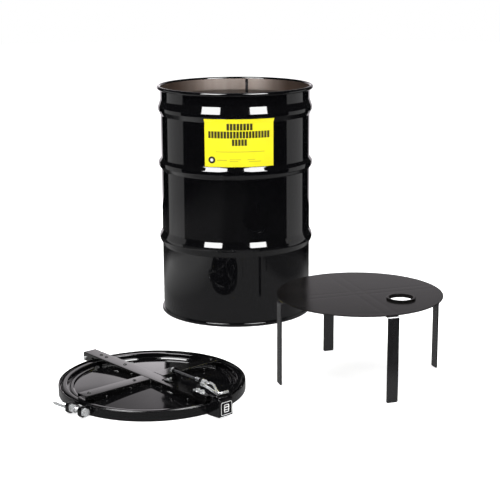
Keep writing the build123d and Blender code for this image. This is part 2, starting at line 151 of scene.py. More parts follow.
def put(tree, kind, sockets=None, **settings):
    """Adds a shader node, sets its properties, and fills or links its sockets."""
    node = tree.nodes.new("ShaderNode" + kind)
    for key, value in settings.items():
        setattr(node, key, value)
    for key, value in (sockets or {}).items():
        if isinstance(value, bpy.types.NodeSocket):
            tree.links.new(value, node.inputs[key])
        else:
            node.inputs[key].default_value = value
    return node


def calc(tree, operation, *terms):
    return put(tree, "Math", dict(enumerate(terms)), operation=operation).outputs[0]


def times(tree, a, b):
    return calc(tree, "MULTIPLY", a, b)


def span(tree, value, low, high, to_low=0.0, to_high=1.0):
    """Maps a value from one range to another and clamps it."""
    sockets = {"Value": value, "From Min": low, "From Max": high, "To Min": to_low, "To Max": to_high}
    return put(tree, "MapRange", sockets).outputs["Result"]


def tint(tree, factor, a, b):
    """Mixes two colours by a factor."""
    node = put(tree, "Mix", {0: factor, 6: a, 7: b}, data_type="RGBA")
    return node.outputs[2]


def place_of(tree, stretch=(1.0, 1.0, 1.0)):
    """Position in the shared frame, in metres, stretched along the axes."""
    coords = put(tree, "TexCoord")
    return put(tree, "Mapping", {"Vector": coords.outputs["Object"], "Scale": stretch}).outputs[0]


def grain(tree, place, scale, detail=3.0, rough=0.55):
    sockets = {"Vector": place, "Scale": scale, "Detail": detail, "Roughness": rough}
    return put(tree, "TexNoise", sockets).outputs["Fac"]


def relief(tree, layers):
    """Stacks bump layers, each a height and its depth in metres, and returns the normal."""
    normal = None
    for height, depth in layers:
        sockets = {"Height": height, "Distance": depth, "Strength": 1.0}
        if normal is not None:
            sockets["Normal"] = normal
        normal = put(tree, "Bump", sockets).outputs[0]
    return normal


def edges_of(tree, radius=0.0011):
    """One on edges, nought on flats: how far a rounded normal leans away from the face's own."""
    soft = put(tree, "Bevel", {"Radius": radius}, samples=4).outputs[0]
    own = put(tree, "NewGeometry").outputs["Normal"]
    lean = put(tree, "VectorMath", {0: soft, 1: own}, operation="DOT_PRODUCT")
    return span(tree, lean.outputs["Value"], 0.80, 0.985, 1.0, 0.0)


def upward(tree):
    """One on faces that look up."""
    normal = put(tree, "NewGeometry").outputs["Normal"]
    z = put(tree, "SeparateXYZ", {0: normal}).outputs["Z"]
    return span(tree, z, 0.6, 0.98)


def rgb(r, g, b):
    return (r, g, b, 1.0)


def material(name, fixed):
    """A Principled material with its plain sockets set; returns it with its tree and shader."""
    mat = bpy.data.materials.new(name)
    mat.use_nodes = True
    shader = mat.node_tree.nodes["Principled BSDF"]
    for key, value in fixed.items():
        shader.inputs[key].default_value = value
    return mat, mat.node_tree, shader


def feed(tree, shader, **values):
    """Links values to the shader's sockets; underscores stand for spaces."""
    for key, value in values.items():
        tree.links.new(value, shader.inputs[key.replace("_", " ")])


def enamel(name, dark, worn, rough_low, rough_high, peel, wave, coat=0.0, dust=0.02, ior=1.5):
    """Black paint on sheet steel: orange peel, slow waves, smudges, rubbed edges and a little dust."""
    fixed = {"IOR": ior, "Coat Weight": coat, "Coat Roughness": 0.03, "Coat IOR": 1.5}
    mat, tree, shader = material(name, fixed)
    place = place_of(tree)
    smudge = grain(tree, place, 9.0, 6.0, 0.62)
    fine = grain(tree, place, 420.0, 2.0)
    slow = grain(tree, place, 6.5, 1.5)
    rubbed = times(tree, edges_of(tree), span(tree, grain(tree, place, 70.0, 5.0), 0.42, 0.66))
    drift = span(tree, grain(tree, place, 23.0, 8.0, 0.7), 0.45, 0.8, 0.0, dust)
    dusty = times(tree, upward(tree), drift)
    base = tint(tree, rubbed, rgb(*dark), rgb(*worn))
    base = tint(tree, dusty, base, rgb(0.42, 0.40, 0.38))
    rough = span(tree, smudge, 0.3, 0.72, rough_low, rough_high)
    rough = calc(tree, "ADD", rough, times(tree, rubbed, 0.22))
    rough = calc(tree, "ADD", rough, times(tree, dusty, 0.6))
    feed(tree, shader, Base_Color=base, Roughness=rough, Normal=relief(tree, [(slow, wave), (fine, peel)]))
    return mat


def lined_steel():
    """The drum's inside: rolled steel under a thin lining, streaked along its height."""
    fixed = {"Metallic": 0.85, "IOR": 1.5, "Coat Weight": 0.15, "Coat Roughness": 0.3}
    mat, tree, shader = material("drum_lining", fixed)
    streak = grain(tree, place_of(tree, (14.0, 14.0, 1.2)), 1.0, 4.0, 0.5)
    cloud = grain(tree, place_of(tree), 7.0, 6.0, 0.65)
    speck = grain(tree, place_of(tree), 260.0, 3.0, 0.7)
    base = tint(tree, span(tree, streak, 0.35, 0.68), rgb(0.30, 0.245, 0.215), rgb(0.40, 0.345, 0.315))
    base = tint(tree, span(tree, cloud, 0.5, 0.75, 0.0, 0.55), base, rgb(0.27, 0.19, 0.145))
    base = tint(tree, span(tree, speck, 0.62, 0.78, 0.0, 0.35), base, rgb(0.10, 0.07, 0.055))
    # Darker and browner towards both sides, which copies how the light falls in the photo
    x = put(tree, "SeparateXYZ", {0: place_of(tree)}).outputs["X"]
    aside = calc(tree, "ABSOLUTE", calc(tree, "ADD", x, 0.02))
    base = tint(tree, span(tree, aside, 0.09, 0.23, 0.0, 0.9), base, rgb(0.085, 0.056, 0.042))
    rough = span(tree, cloud, 0.3, 0.7, 0.40, 0.52)
    normal = relief(tree, [(streak, 0.00005), (speck, 0.000008)])
    feed(tree, shader, Base_Color=base, Roughness=rough, Normal=normal)
    return mat


def weld_steel():
    """The side weld: a planished strip, dark with scale."""
    mat, tree, shader = material("weld_strip", {"Metallic": 0.9})
    ripple = grain(tree, place_of(tree, (60.0, 60.0, 240.0)), 1.0, 3.0)
    cloud = grain(tree, place_of(tree), 40.0, 5.0)
    base = tint(tree, span(tree, cloud, 0.4, 0.65), rgb(0.045, 0.044, 0.048), rgb(0.11, 0.105, 0.108))
    rough = span(tree, cloud, 0.3, 0.7, 0.28, 0.46)
    feed(tree, shader, Base_Color=base, Roughness=rough, Normal=relief(tree, [(ripple, 0.00008)]))
    return mat


def plated(name, light, dull, rough_low, rough_high, scratch=0.00001):
    """Zinc or chrome plate: slightly mottled, finely scratched, darkened in its recesses with painted shade.
    """
    mat, tree, shader = material(name, {"Metallic": 0.72, "IOR": 1.5})
    cloud = grain(tree, place_of(tree), 120.0, 6.0, 0.6)
    fine = grain(tree, place_of(tree), 1500.0, 3.0, 0.6)
    recess_shade = span(tree, put(tree, "NewGeometry").outputs["Pointiness"], 0.36, 0.45, 1.0, 0.0)
    base = tint(tree, span(tree, cloud, 0.35, 0.7), rgb(*light), rgb(*dull))
    # Painted shade: the plate darkens towards near black where the surface is concave
    base = tint(tree, times(tree, recess_shade, 0.7), base, rgb(0.10, 0.095, 0.09))
    rough = span(tree, cloud, 0.3, 0.7, rough_low, rough_high)
    feed(tree, shader, Base_Color=base, Roughness=rough, Normal=relief(tree, [(fine, scratch)]))
    return mat


def rubber():
    """The gasket: matt black rubber, a little chalky."""
    mat, tree, shader = material("gasket_rubber", {"IOR": 1.5})
    cloud = grain(tree, place_of(tree), 60.0, 6.0)
    fine = grain(tree, place_of(tree), 900.0, 2.0)
    base = tint(tree, span(tree, cloud, 0.35, 0.7), rgb(0.014, 0.014, 0.015), rgb(0.045, 0.043, 0.041))
    rough = span(tree, cloud, 0.3, 0.7, 0.55, 0.8)
    feed(tree, shader, Base_Color=base, Roughness=rough, Normal=relief(tree, [(fine, 0.00003)]))
    return mat


def bar_mask(tree, u, v, left, right, low, high, soft=0.004):
    """One inside a rectangle of the label's own width and height, nought outside."""
    sides = [span(tree, u, left - soft, left + soft), span(tree, u, right - soft, right + soft, 1.0, 0.0)]
    sides += [span(tree, v, low - soft, low + soft), span(tree, v, high - soft, high + soft, 1.0, 0.0)]
    mask = sides[0]
    for side in sides[1:]:
        mask = times(tree, mask, side)
    return mask


# Label rows: left, right, low, high, as parts of its width and height, and the number of blocks
LABEL_ROWS = ((0.319, 0.694, 0.765, 0.905, 8), (0.056, 0.944, 0.600, 0.745, 20),
              (0.393, 0.612, 0.445, 0.580, 5))
LABEL_FINE = ((0.18, 0.32, 0.135, 0.155), (0.36, 0.52, 0.150, 0.162), (0.36, 0.48, 0.115, 0.127),
              (0.61, 0.72, 0.150, 0.162), (0.63, 0.81, 0.108, 0.120))


def block_row(tree, u, v, left, right, low, high, count):
    """A row of blank upright blocks."""
    row = bar_mask(tree, u, v, left, right, low, high)
    steps = times(tree, calc(tree, "SUBTRACT", u, left), count / (right - left))
    along = calc(tree, "FRACT", steps)
    return times(tree, row, span(tree, along, 0.76, 0.82, 1.0, 0.0))


def label_film():
    """Yellow vinyl with rows of blank blocks, a fill-in line, faint rules and a plain dot in a disc."""
    mat, tree, shader = material("label_film", {"IOR": 1.4, "Coat Weight": 0.1, "Coat Roughness": 0.12})
    uv = put(tree, "SeparateXYZ", {0: put(tree, "UVMap", uv_map="flat").outputs[0]})
    u, v = uv.outputs["X"], uv.outputs["Y"]
    cloud = grain(tree, place_of(tree), 16.0, 5.0)
    fine = grain(tree, place_of(tree), 700.0, 2.0)
    film = tint(tree, span(tree, cloud, 0.35, 0.7), rgb(0.90, 0.82, 0.003), rgb(0.86, 0.77, 0.004))
    ink = block_row(tree, u, v, *LABEL_ROWS[0])
    for row in LABEL_ROWS[1:]:
        ink = calc(tree, "MAXIMUM", ink, block_row(tree, u, v, *row))
    pale = bar_mask(tree, u, v, 0.16, 0.86, 0.313, 0.323, 0.002)
    for bar in LABEL_FINE:
        pale = calc(tree, "MAXIMUM", pale, times(tree, bar_mask(tree, u, v, *bar), 0.75))
    across = times(tree, calc(tree, "SUBTRACT", u, 0.105), 1.468)
    above = calc(tree, "SUBTRACT", v, 0.145)
    squares = calc(tree, "ADD", calc(tree, "POWER", across, 2.0), calc(tree, "POWER", above, 2.0))
    away = calc(tree, "POWER", squares, 0.5)
    disc = span(tree, away, 0.072, 0.078, 1.0, 0.0)
    eye = span(tree, away, 0.030, 0.036, 1.0, 0.0)
    print_edge = span(tree, fine, 0.3, 0.7, 0.94, 1.0)
    base = tint(tree, times(tree, ink, print_edge), film, rgb(0.018, 0.016, 0.012))
    base = tint(tree, times(tree, pale, 0.8), base, rgb(0.25, 0.22, 0.02))
    base = tint(tree, disc, base, rgb(0.018, 0.016, 0.012))
    base = tint(tree, eye, base, rgb(0.80, 0.80, 0.76))
    rough = calc(tree, "SUBTRACT", span(tree, cloud, 0.3, 0.7, 0.30, 0.42), times(tree, ink, 0.08))
    normal = relief(tree, [(cloud, 0.0002), (fine, 0.000006)])
    feed(tree, shader, Base_Color=base, Roughness=rough, Normal=normal)
    return mat


def table_coat():
    """Satin black coating on hot-rolled plate: cloudy, finely pitted, rubbed at its edges."""
    mat, tree, shader = material("table_coat", {"IOR": 1.17})
    place = place_of(tree)
    cloud = grain(tree, place, 5.0, 6.0, 0.6)
    pit = grain(tree, place, 380.0, 3.0, 0.6)
    streak = grain(tree, place_of(tree, (3.0, 60.0, 60.0)), 1.0, 4.0, 0.6)
    base = tint(tree, span(tree, cloud, 0.32, 0.7), rgb(0.005, 0.0046, 0.0046), rgb(0.009, 0.0083, 0.0083))
    base = tint(tree, span(tree, streak, 0.55, 0.8, 0.0, 0.5), base, rgb(0.013, 0.012, 0.0115))
    rubbed = times(tree, edges_of(tree), span(tree, grain(tree, place, 90.0, 5.0), 0.40, 0.62))
    base = tint(tree, rubbed, base, rgb(0.10, 0.095, 0.09))
    rough = calc(tree, "ADD", span(tree, cloud, 0.3, 0.7, 0.13, 0.20), times(tree, rubbed, 0.1))
    normal = relief(tree, [(streak, 0.00003), (pit, 0.000012)])
    feed(tree, shader, Base_Color=base, Roughness=rough, Normal=normal)
    return mat


def white_print():
    """The pale print on the badge."""
    mat, tree, shader = material("badge_print", {"IOR": 1.5, "Coat Weight": 0.5, "Coat Roughness": 0.08})
    cloud = grain(tree, place_of(tree), 90.0, 5.0)
    base = tint(tree, span(tree, cloud, 0.35, 0.7), rgb(0.88, 0.88, 0.87), rgb(0.76, 0.76, 0.75))
    feed(tree, shader, Base_Color=base, Roughness=span(tree, cloud, 0.3, 0.7, 0.25, 0.4))
    return mat


# IOR 1.17, 1.9 and 2.0 and the plating's Metallic are fitted to the photo's brightness, not real values
GREY_WEAR = (0.03, 0.029, 0.029)
COLD_WEAR = (0.03, 0.03, 0.031)
M = {
    "drum": enamel("drum_enamel", (0.0024, 0.0024, 0.0029), COLD_WEAR, 0.03, 0.075,
                   0.0000035, 0.00012, 0.5),
    "lining": lined_steel(),
    "weld": weld_steel(),
    "label": label_film(),
    "gloss": enamel("lid_enamel", (0.0024, 0.0024, 0.0028), COLD_WEAR, 0.04, 0.09,
                    0.0000035, 0.00008, 0.3, 0.01),
    "satin": enamel("bar_coat", (0.0035, 0.0033, 0.0034), GREY_WEAR, 0.08, 0.15,
                    0.000006, 0.00003, 0.1, 0.012, 2.0),
    "legs": enamel("leg_coat", (0.011, 0.0105, 0.0118), GREY_WEAR, 0.14, 0.22,
                   0.000006, 0.00003, 0.0, 0.0, 1.9),
    "zinc": plated("zinc_plate", (0.90, 0.91, 0.92), (0.78, 0.79, 0.80), 0.22, 0.36),
    "dark_zinc": plated("dark_plate", (0.20, 0.20, 0.21), (0.10, 0.10, 0.105), 0.24, 0.40),
    "chrome": plated("chrome_plate", (0.88, 0.89, 0.90), (0.80, 0.81, 0.82), 0.06, 0.13, 0.000004),
    "rubber": rubber(),
    "table": table_coat(),
    "print": white_print(),
}


# ---- Mesh building ----

def finished(name, mesh, keys, body, nodes=(), sharp=32.0):
    """Links a mesh as a piece: its materials, shading, body and the CAD nodes it stands for."""
    for key in keys:
        mesh.materials.append(M[key])
    for polygon in mesh.polygons:
        polygon.use_smooth = True
    mesh.set_sharp_from_angle(angle=math.radians(sharp))
    piece = bpy.data.objects.new(name, mesh)
    bpy.context.scene.collection.objects.link(piece)
    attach(piece, body)
    if nodes:
        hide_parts(*nodes)
    return piece


def mesh_from(name, bm, matrix=Matrix.Identity(4)):
    bmesh.ops.recalc_face_normals(bm, faces=bm.faces)
    bm.transform(matrix)
    mesh = bpy.data.meshes.new(name)
    bm.to_mesh(mesh)
    bm.free()
    return mesh


def made(name, bm, keys, body, nodes=(), sharp=32.0, place=Matrix.Identity(4)):
    """Turns a bmesh into a piece at its place."""
    return finished(name, mesh_from(name, bm, place), keys, body, nodes, sharp)


def rounded(points, steps=7):
    """A path from (a, b, bend radius) points, with each bend as an arc."""
    path = []
    last = len(points) - 1
    for i, (a, b, bend) in enumerate(points):
        here = Vector((a, b))
        if i in (0, last) or bend <= 0:
            path.append(here)
            continue
        back = Vector(points[i - 1][:2]) - here
        ahead = Vector(points[i + 1][:2]) - here
        half = back.angle(ahead) / 2
        trim = bend / math.tan(half)
        middle = here + (back.normalized() + ahead.normalized()).normalized() * bend / math.sin(half)
        start = here + back.normalized() * trim - middle
        end = here + ahead.normalized() * trim - middle
        turn = start.angle_signed(end)
        for k in range(steps + 1):
            path.append(middle + Matrix.Rotation(-turn * k / steps, 2) @ start)
    return path


def offset(path, distance):
    """A path moved sideways by a distance, to its left as it runs."""
    moved = []
    for i, point in enumerate(path):
        before = path[max(i - 1, 0)]
        after = path[min(i + 1, len(path) - 1)]
        run = (after - before).normalized()
        moved.append(point + Vector((-run.y, run.x)) * distance)
    return moved


def stitch(bm, pairs):
    """Joins each pair of rings with a band of faces."""
    for a, b in pairs:
        n = len(a)
        for k in range(n):
            j = (k + 1) % n
            bm.faces.new((a[k], a[j], b[j], b[k]))


def lathe(loop, turns=256, start=0.0, sweep=360.0):
    """Turns a closed section of (radius, height) points about Z, in metres."""
    bm = bmesh.new()
    whole = sweep >= 359.99
    count = turns if whole else turns + 1
    rings = []
    for k in range(count):
        angle = math.radians(start + sweep * k / turns)
        c, s = math.cos(angle), math.sin(angle)
        rings.append([bm.verts.new((p[0] * c * MM, p[0] * s * MM, p[1] * MM)) for p in loop])
    n = len(loop)
    for k in range(turns):
        a, b = rings[k], rings[(k + 1) % count]
        for i in range(n):
            j = (i + 1) % n
            bm.faces.new((a[i], b[i], b[j], a[j]))
    if not whole:
        bm.faces.new(rings[0])
        bm.faces.new(rings[-1])
    bmesh.ops.remove_doubles(bm, verts=bm.verts, dist=1e-7)
    return bm


def tube(points, radius, sides=24, cap=0.25):
    """A round bar along 3D points with rounded ends, in metres."""
    bm = bmesh.new()
    rings = []
    frame_x = None
    last = len(points) - 1
    stations = [(points[0], 1.0 - cap), (points[0], 1.0)] if cap else [(points[0], 1.0)]
    stations += [(p, 1.0) for p in points[1:-1]]
    stations += [(points[last], 1.0), (points[last], 1.0 - cap)] if cap else [(points[last], 1.0)]
    for i, (point, grow) in enumerate(stations):
        before = stations[max(i - 2, 0)][0]
        after = stations[min(i + 2, len(stations) - 1)][0]
        run = (after - before).normalized()
        if frame_x is None:
            frame_x = run.orthogonal().normalized()
        frame_x = (frame_x - run * frame_x.dot(run)).normalized()
        frame_y = run.cross(frame_x)
        centre = point
        if cap and i == 1:
            centre = point + run * radius * cap
        elif cap and i == len(stations) - 2:
            centre = point - run * radius * cap
        ring = []
        for k in range(sides):
            a = 2 * math.pi * k / sides
            spoke = frame_x * math.cos(a) + frame_y * math.sin(a)
            ring.append(bm.verts.new(centre + spoke * radius * grow))
        rings.append(ring)
    stitch(bm, zip(rings, rings[1:]))
    bm.faces.new(rings[0])
    bm.faces.new(rings[-1])
    return bm


def join(parts):
    """Joins several bmeshes into one."""
    whole = bmesh.new()
    for part in parts:
        mesh = bpy.data.meshes.new("part")
        part.to_mesh(mesh)
        part.free()
        whole.from_mesh(mesh)
        bpy.data.meshes.remove(mesh)
    return whole


def moved(bm, matrix):
    bm.transform(matrix)
    return bm


def hexagon(across, height, bore=0.0, both=False):
    """A hex head or nut on the XY plane, its corners cut by the turned chamfer, in metres."""
    bm = bmesh.new()
    turns = 96
    flat = across / 2 * MM
    rise = height * MM
    rings = []
    for level in range(6):
        ring = []
        for k in range(turns):
            a = 2 * math.pi * k / turns
            fold = (a + math.pi / 6) % (math.pi / 3) - math.pi / 6
            corner = flat / math.cos(fold)
            cut = max(0.0, corner - flat * 0.96) * math.tan(math.radians(30))
            inner = bore / 2 * MM
            low = cut if both else 0.0
            foot = min(corner, flat * 0.96) if both else corner
            radius = (inner, foot, corner, corner, flat * 0.96, inner)[level]
            z = (0.0, 0.0, low, rise - cut, rise, rise)[level]
            ring.append(bm.verts.new((radius * math.cos(a), radius * math.sin(a), z)))
        rings.append(ring)
    pairs = list(zip(rings, rings[1:]))
    if bore:
        pairs.append((rings[-1], rings[0]))
    stitch(bm, pairs)
    bmesh.ops.remove_doubles(bm, verts=bm.verts, dist=1e-7)
    return bm


def thread(radius, pitch, length, lead):
    """A threaded bar along +Z from the origin, tapered at its end, in metres."""
    bm = bmesh.new()
    turns = 32
    per_pitch = 6
    depth = pitch * 0.58
    rows = int(length / pitch * per_pitch)
    rings = []
    for i in range(rows + 1):
        z = length * i / rows
        ring = []
        for k in range(turns):
            phase = (z / pitch - k / turns) % 1.0
            groove = depth * (1 - abs(2 * phase - 1))
            end = min(1.0, (length - z) / (lead * pitch))
            r = (radius - groove) * (0.84 + 0.16 * end)
            a = 2 * math.pi * k / turns
            ring.append(bm.verts.new((r * math.cos(a) * MM, r * math.sin(a) * MM, z * MM)))
        rings.append(ring)
    stitch(bm, zip(rings, rings[1:]))
    bm.faces.new(rings[0])
    bm.faces.new(rings[-1])
    return bm


def dome(radius, height, stem=0.0):
    """A button head on the XY plane with a socket dimple, in metres."""
    section = [(0.0, height * 0.55, 0), (radius * 0.34, height * 0.55, 0), (radius * 0.36, height, 0.15)]
    section += [(radius * 0.55, height, radius * 0.5), (radius, height * 0.45, radius * 0.2)]
    section += [(radius, 0.0, 0), (0.0, -stem, 0)]
    return lathe([Vector(p) for p in rounded(section)], 40)


def bead(start, end, up, out, size, pitch=2.2, seed=0):
    """A rippled fillet weld between two points; up and out are the two faces' directions, in metres."""
    rng = random.Random(SEED + seed)
    bm = bmesh.new()
    run = end - start
    steps = max(12, int(run.length / (pitch * MM) * 5))
    rings = []
    for i in range(steps + 1):
        t = i / steps
        swell = math.sin(math.pi * min(1.0, 4 * min(t, 1 - t) + 0.12) / 2)
        ripple = 1.0 + 0.10 * math.cos(2 * math.pi * t * run.length / (pitch * MM)) + rng.uniform(-0.03, 0.03)
        s = size * MM * swell * ripple
        ring = []
        for k in range(9):
            a = math.pi / 2 * k / 8
            bulge = 0.80 + 0.12 * math.sin(2 * a)
            ring.append(bm.verts.new(start + run * t + (up * math.sin(a) + out * math.cos(a)) * s * bulge))
        ring.append(bm.verts.new(start + run * t - (up + out) * 0.2 * MM))
        rings.append(ring)
    stitch(bm, zip(rings, rings[1:]))
    bm.faces.new(rings[0])
    bm.faces.new(rings[-1])
    return bm


def softened(node, width, key):
    """Stands for a CAD plate with the same shape, its edges broken by a small round."""
    source = frame["nodes"][node]
    bm = bmesh.new()
    bm.from_mesh(source.data)
    bmesh.ops.remove_doubles(bm, verts=bm.verts, dist=2e-6)
    bmesh.ops.dissolve_limit(bm, angle_limit=math.radians(1.0), verts=bm.verts, edges=bm.edges)
    mesh = mesh_from(node + "_skin", bm)
    piece = finished(node + "_skin", mesh, [key], source["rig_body"], [node], 40.0)
    bevel = piece.modifiers.new("edge", "BEVEL")
    bevel.width = width * MM
    bevel.segments = 2
    bevel.limit_method = "ANGLE"
    bevel.angle_limit = math.radians(40)
    bevel.harden_normals = False


# ---- Drum ----

def body_path(shift=0.0):
    """The body sheet's inside line from its foot to the start of the curl."""
    r = BODY_R - SHEET + shift
    points = [(r, 1.4, 0)]
    for z, flank in HOOPS:
        points += [(r, z - flank, 12), (r + HOOP_OUT, z - 7, 8), (r + HOOP_OUT, z + 7, 8), (r, z + flank, 12)]
    points += [(r, BEAD_Z - 27, 7), (r + BEAD_OUT, BEAD_Z - 7, 5), (r + BEAD_OUT, BEAD_Z + 4, 9)]
    points += [(r, BEAD_Z + 32, 16), (r, TOP_Z - CURL_R, 0)]
    return rounded(points)


def wall_radius(z):
    """Radius of the body's outside at a height."""
    path = body_path(SHEET)
    for a, b in zip(path, path[1:]):
        if a.y <= z <= b.y:
            return a.x + (b.x - a.x) * (z - a.y) / max(b.y - a.y, 1e-6)
    return path[-1].x


def drum_body():
    """Body sheet with hoops, bead and rolled curl: enamel outside and lining inside."""
    path = body_path()
    curl_x = BODY_R - SHEET + CURL_R
    steps = 40
    for k in range(1, steps + 1):
        a = math.radians(180 - CURL_WRAP * k / steps)
        path.append(Vector((curl_x + CURL_R * math.cos(a), TOP_Z - CURL_R + CURL_R * math.sin(a))))
    loop = path + offset(path, -SHEET)[::-1]
    mesh = mesh_from("drum_body", lathe(loop, 320))
    for polygon in mesh.polygons:
        c = polygon.center
        facing_in = polygon.normal.x * c.x + polygon.normal.y * c.y < 0
        near_wall = math.hypot(c.x, c.y) < (BODY_R + HOOP_OUT) * MM and c.z < (TOP_Z - CURL_R) * MM
        polygon.material_index = 1 if facing_in and near_wall else 0
    finished("drum_body", mesh, ["drum", "lining"], "drum", ["drum_shell"])


def drum_bottom():
    """The dished bottom with two stiffening rings and the rolled chime."""
    inner = BODY_R - SHEET
    over = [(0, HEAD_Z + SHEET, 0), (120, HEAD_Z + SHEET, 4)]
    over += [(126, HEAD_Z + SHEET - 3, 4), (136, HEAD_Z + SHEET - 3, 4)]
    over += [(142, HEAD_Z + SHEET, 4), (228, HEAD_Z + SHEET, 4), (234, HEAD_Z + SHEET - 3, 4)]
    over += [(244, HEAD_Z + SHEET - 3, 4), (250, HEAD_Z + SHEET, 4), (inner - 3, HEAD_Z + SHEET, 2)]
    over += [(inner - 0.15, HEAD_Z - 2, 0), (inner - 0.15, 1.35, 0)]
    over += [(BODY_R + 0.1, 1.35, 0), (BODY_R + 0.1, CHIME_H, 0)]
    over += [(CHIME_R - 1.0, CHIME_H, 3), (CHIME_R, CHIME_H - 4, 3), (CHIME_R, 3.5, 3), (CHIME_R - 3, 0, 2)]
    over += [(inner - 1.4, 0, 0.6), (inner - 1.4, HEAD_Z - 3, 2), (inner - 5, HEAD_Z, 2), (250, HEAD_Z, 4)]
    over += [(244, HEAD_Z - 3, 4), (234, HEAD_Z - 3, 4), (228, HEAD_Z, 4), (142, HEAD_Z, 4)]
    over += [(136, HEAD_Z - 3, 4), (126, HEAD_Z - 3, 4), (120, HEAD_Z, 4), (0, HEAD_Z, 0)]
    mesh = mesh_from("drum_bottom", lathe(rounded(over, 4), 256))
    for polygon in mesh.polygons:
        c = polygon.center
        within = math.hypot(c.x, c.y) < (inner - 1) * MM
        polygon.material_index = 1 if polygon.normal.z > 0.3 and within else 0
    finished("drum_bottom", mesh, ["drum", "lining"], "drum", ["drum_bottom_head"])


def seam_strip(name, path, half, key, nodes=()):
    """A planished weld strip that follows a profile at the seam's angle."""
    loop = path + offset(path, 0.38)[::-1]
    bm = lathe(loop, 10, SEAM_ANGLE - half, 2 * half)
    made(name, bm, [key], "drum", nodes)


def drum_seam():
    inside = [p for p in body_path(-0.42) if 22 < p.y < 874]
    inside.append(Vector((inside[-1].x, 873.0)))
    seam_strip("seam_inside", inside, 1.1, "weld", ["side_seam_weld"])
    outside = [p for p in body_path(SHEET + 0.3) if 14 < p.y < 862]
    outside.append(Vector((outside[-1].x, 862.0)))
    seam_strip("seam_outside", outside, 1.2, "drum")


def drum_label():
    """The label: a thin sheet that follows the body, with softly lifted corners and its own flat map."""
    columns, rows = 72, 48
    bm = bmesh.new()
    flat = bm.loops.layers.uv.new("flat")
    grids = []
    for layer in (0.34, 0.06):
        grid = []
        for j in range(rows + 1):
            v = j / rows
            z = LABEL_LOW + (LABEL_HIGH - LABEL_LOW) * v
            row = []
            for i in range(columns + 1):
                u = i / columns
                near_side = max(0.0, abs(2 * u - 1) - 0.93) / 0.07
                near_edge = max(0.0, abs(2 * v - 1) - 0.85) / 0.15
                lift = 0.9 * near_side * near_edge
                angle = math.radians(LABEL_ANGLE - LABEL_HALF + 2 * LABEL_HALF * u)
                r = (wall_radius(z) + layer + lift * 0.6) * MM
                row.append(bm.verts.new((r * math.cos(angle), r * math.sin(angle), z * MM)))
            grid.append(row)
        grids.append(grid)

    def quad(a, b, c, d, corners):
        face = bm.faces.new((a, b, c, d))
        for loop, (u, v) in zip(face.loops, corners):
            loop[flat].uv = (u, v)

    for grid in grids:
        for j in range(rows):
            for i in range(columns):
                spots = [(i, j), (i + 1, j), (i + 1, j + 1), (i, j + 1)]
                corners = [(x / columns, y / rows) for x, y in spots]
                quad(*[grid[y][x] for x, y in spots], corners)
    top, under = grids
    rim = [(i, 0) for i in range(columns)] + [(columns, j) for j in range(rows)]
    rim += [(i, rows) for i in range(columns, 0, -1)] + [(0, j) for j in range(rows, 0, -1)]
    for (x, y), (x2, y2) in zip(rim, rim[1:] + rim[:1]):
        corners = [(x / columns, y / rows), (x2 / columns, y2 / rows)]
        quad(top[y][x], top[y2][x2], under[y2][x2], under[y][x], corners + corners[::-1])
    made("drum_label_film", bm, ["label"], "drum", ["drum_label"], 60)


# ---- Closing ring ----

def closing_ring():
    """The split ring: guard wall with a rolled edge, the lip under the curl and the shelf above it."""
    inner = RING_R - RING_WALL
    section = [(RING_LIP_R, 0, 0.6), (RING_R, 0, 2.4), (RING_R, RING_H - 4.5, 2), (RING_R - 0.2, RING_H, 1.6)]
    section += [(inner - 1.6, RING_H, 1.4), (inner - 1.6, RING_H - 3.2, 0.8), (inner, RING_H - 5.0, 1)]
    section += [(inner, SHELF_Z + 1.8, 0.8), (SHELF_R, SHELF_Z + 1.8, 0.5), (SHELF_R, SHELF_Z, 0.5)]
    section += [(inner, SHELF_Z, 0.8), (inner, 2.0, 1.2), (RING_LIP_R, 2.0, 0.6)]
    path = rounded(section + section[:1], 4)[1:]
    half = math.degrees(math.asin(SPLIT_HALF / RING_R))
    bm = lathe(path, 320, SPLIT_ANGLE + half, 360 - 2 * half)
    made("closing_ring", bm, ["gloss"], "closure_ring", ["ring_band"], place=IN_LID)


def along_bolt(s):
    """Turns +Z onto the closing bolt's axis, from a place along it."""
    place = Matrix.Translation((BOLT_AXIS_R * MM, s * MM, BOLT_Z * MM))
    return IN_SPLIT @ place @ Matrix.Rotation(math.pi / 2, 4, "X")


def closing_bolt():
    """The bolt: hex head with a forged washer face, and a rolled thread along its whole shank."""
    shank = moved(thread(7.9, 2.0, 138.0, 1.5), along_bolt(36.5))
    turned_over = along_bolt(38.5) @ Matrix.Rotation(math.pi, 4, "X")
    head = moved(hexagon(24.0, 10.0), turned_over)
    disc = [Vector(p) for p in ((0, 0), (11.2, 0), (11.2, 0.9), (0, 0.9))]
    face = moved(lathe(disc, 48), along_bolt(38.6))
    made("closing_bolt", join([shank, head, face]), ["zinc"], "ring_bolt", ["ring_bolt"])


def lock_nut():
    """The hex nut on the closing bolt, between the lugs."""
    nut = moved(hexagon(24.0, 20.0, 15.0, True), along_bolt(-0.1))
    made("lock_nut", nut, ["zinc"], "jam_nut", ["jam_nut"])


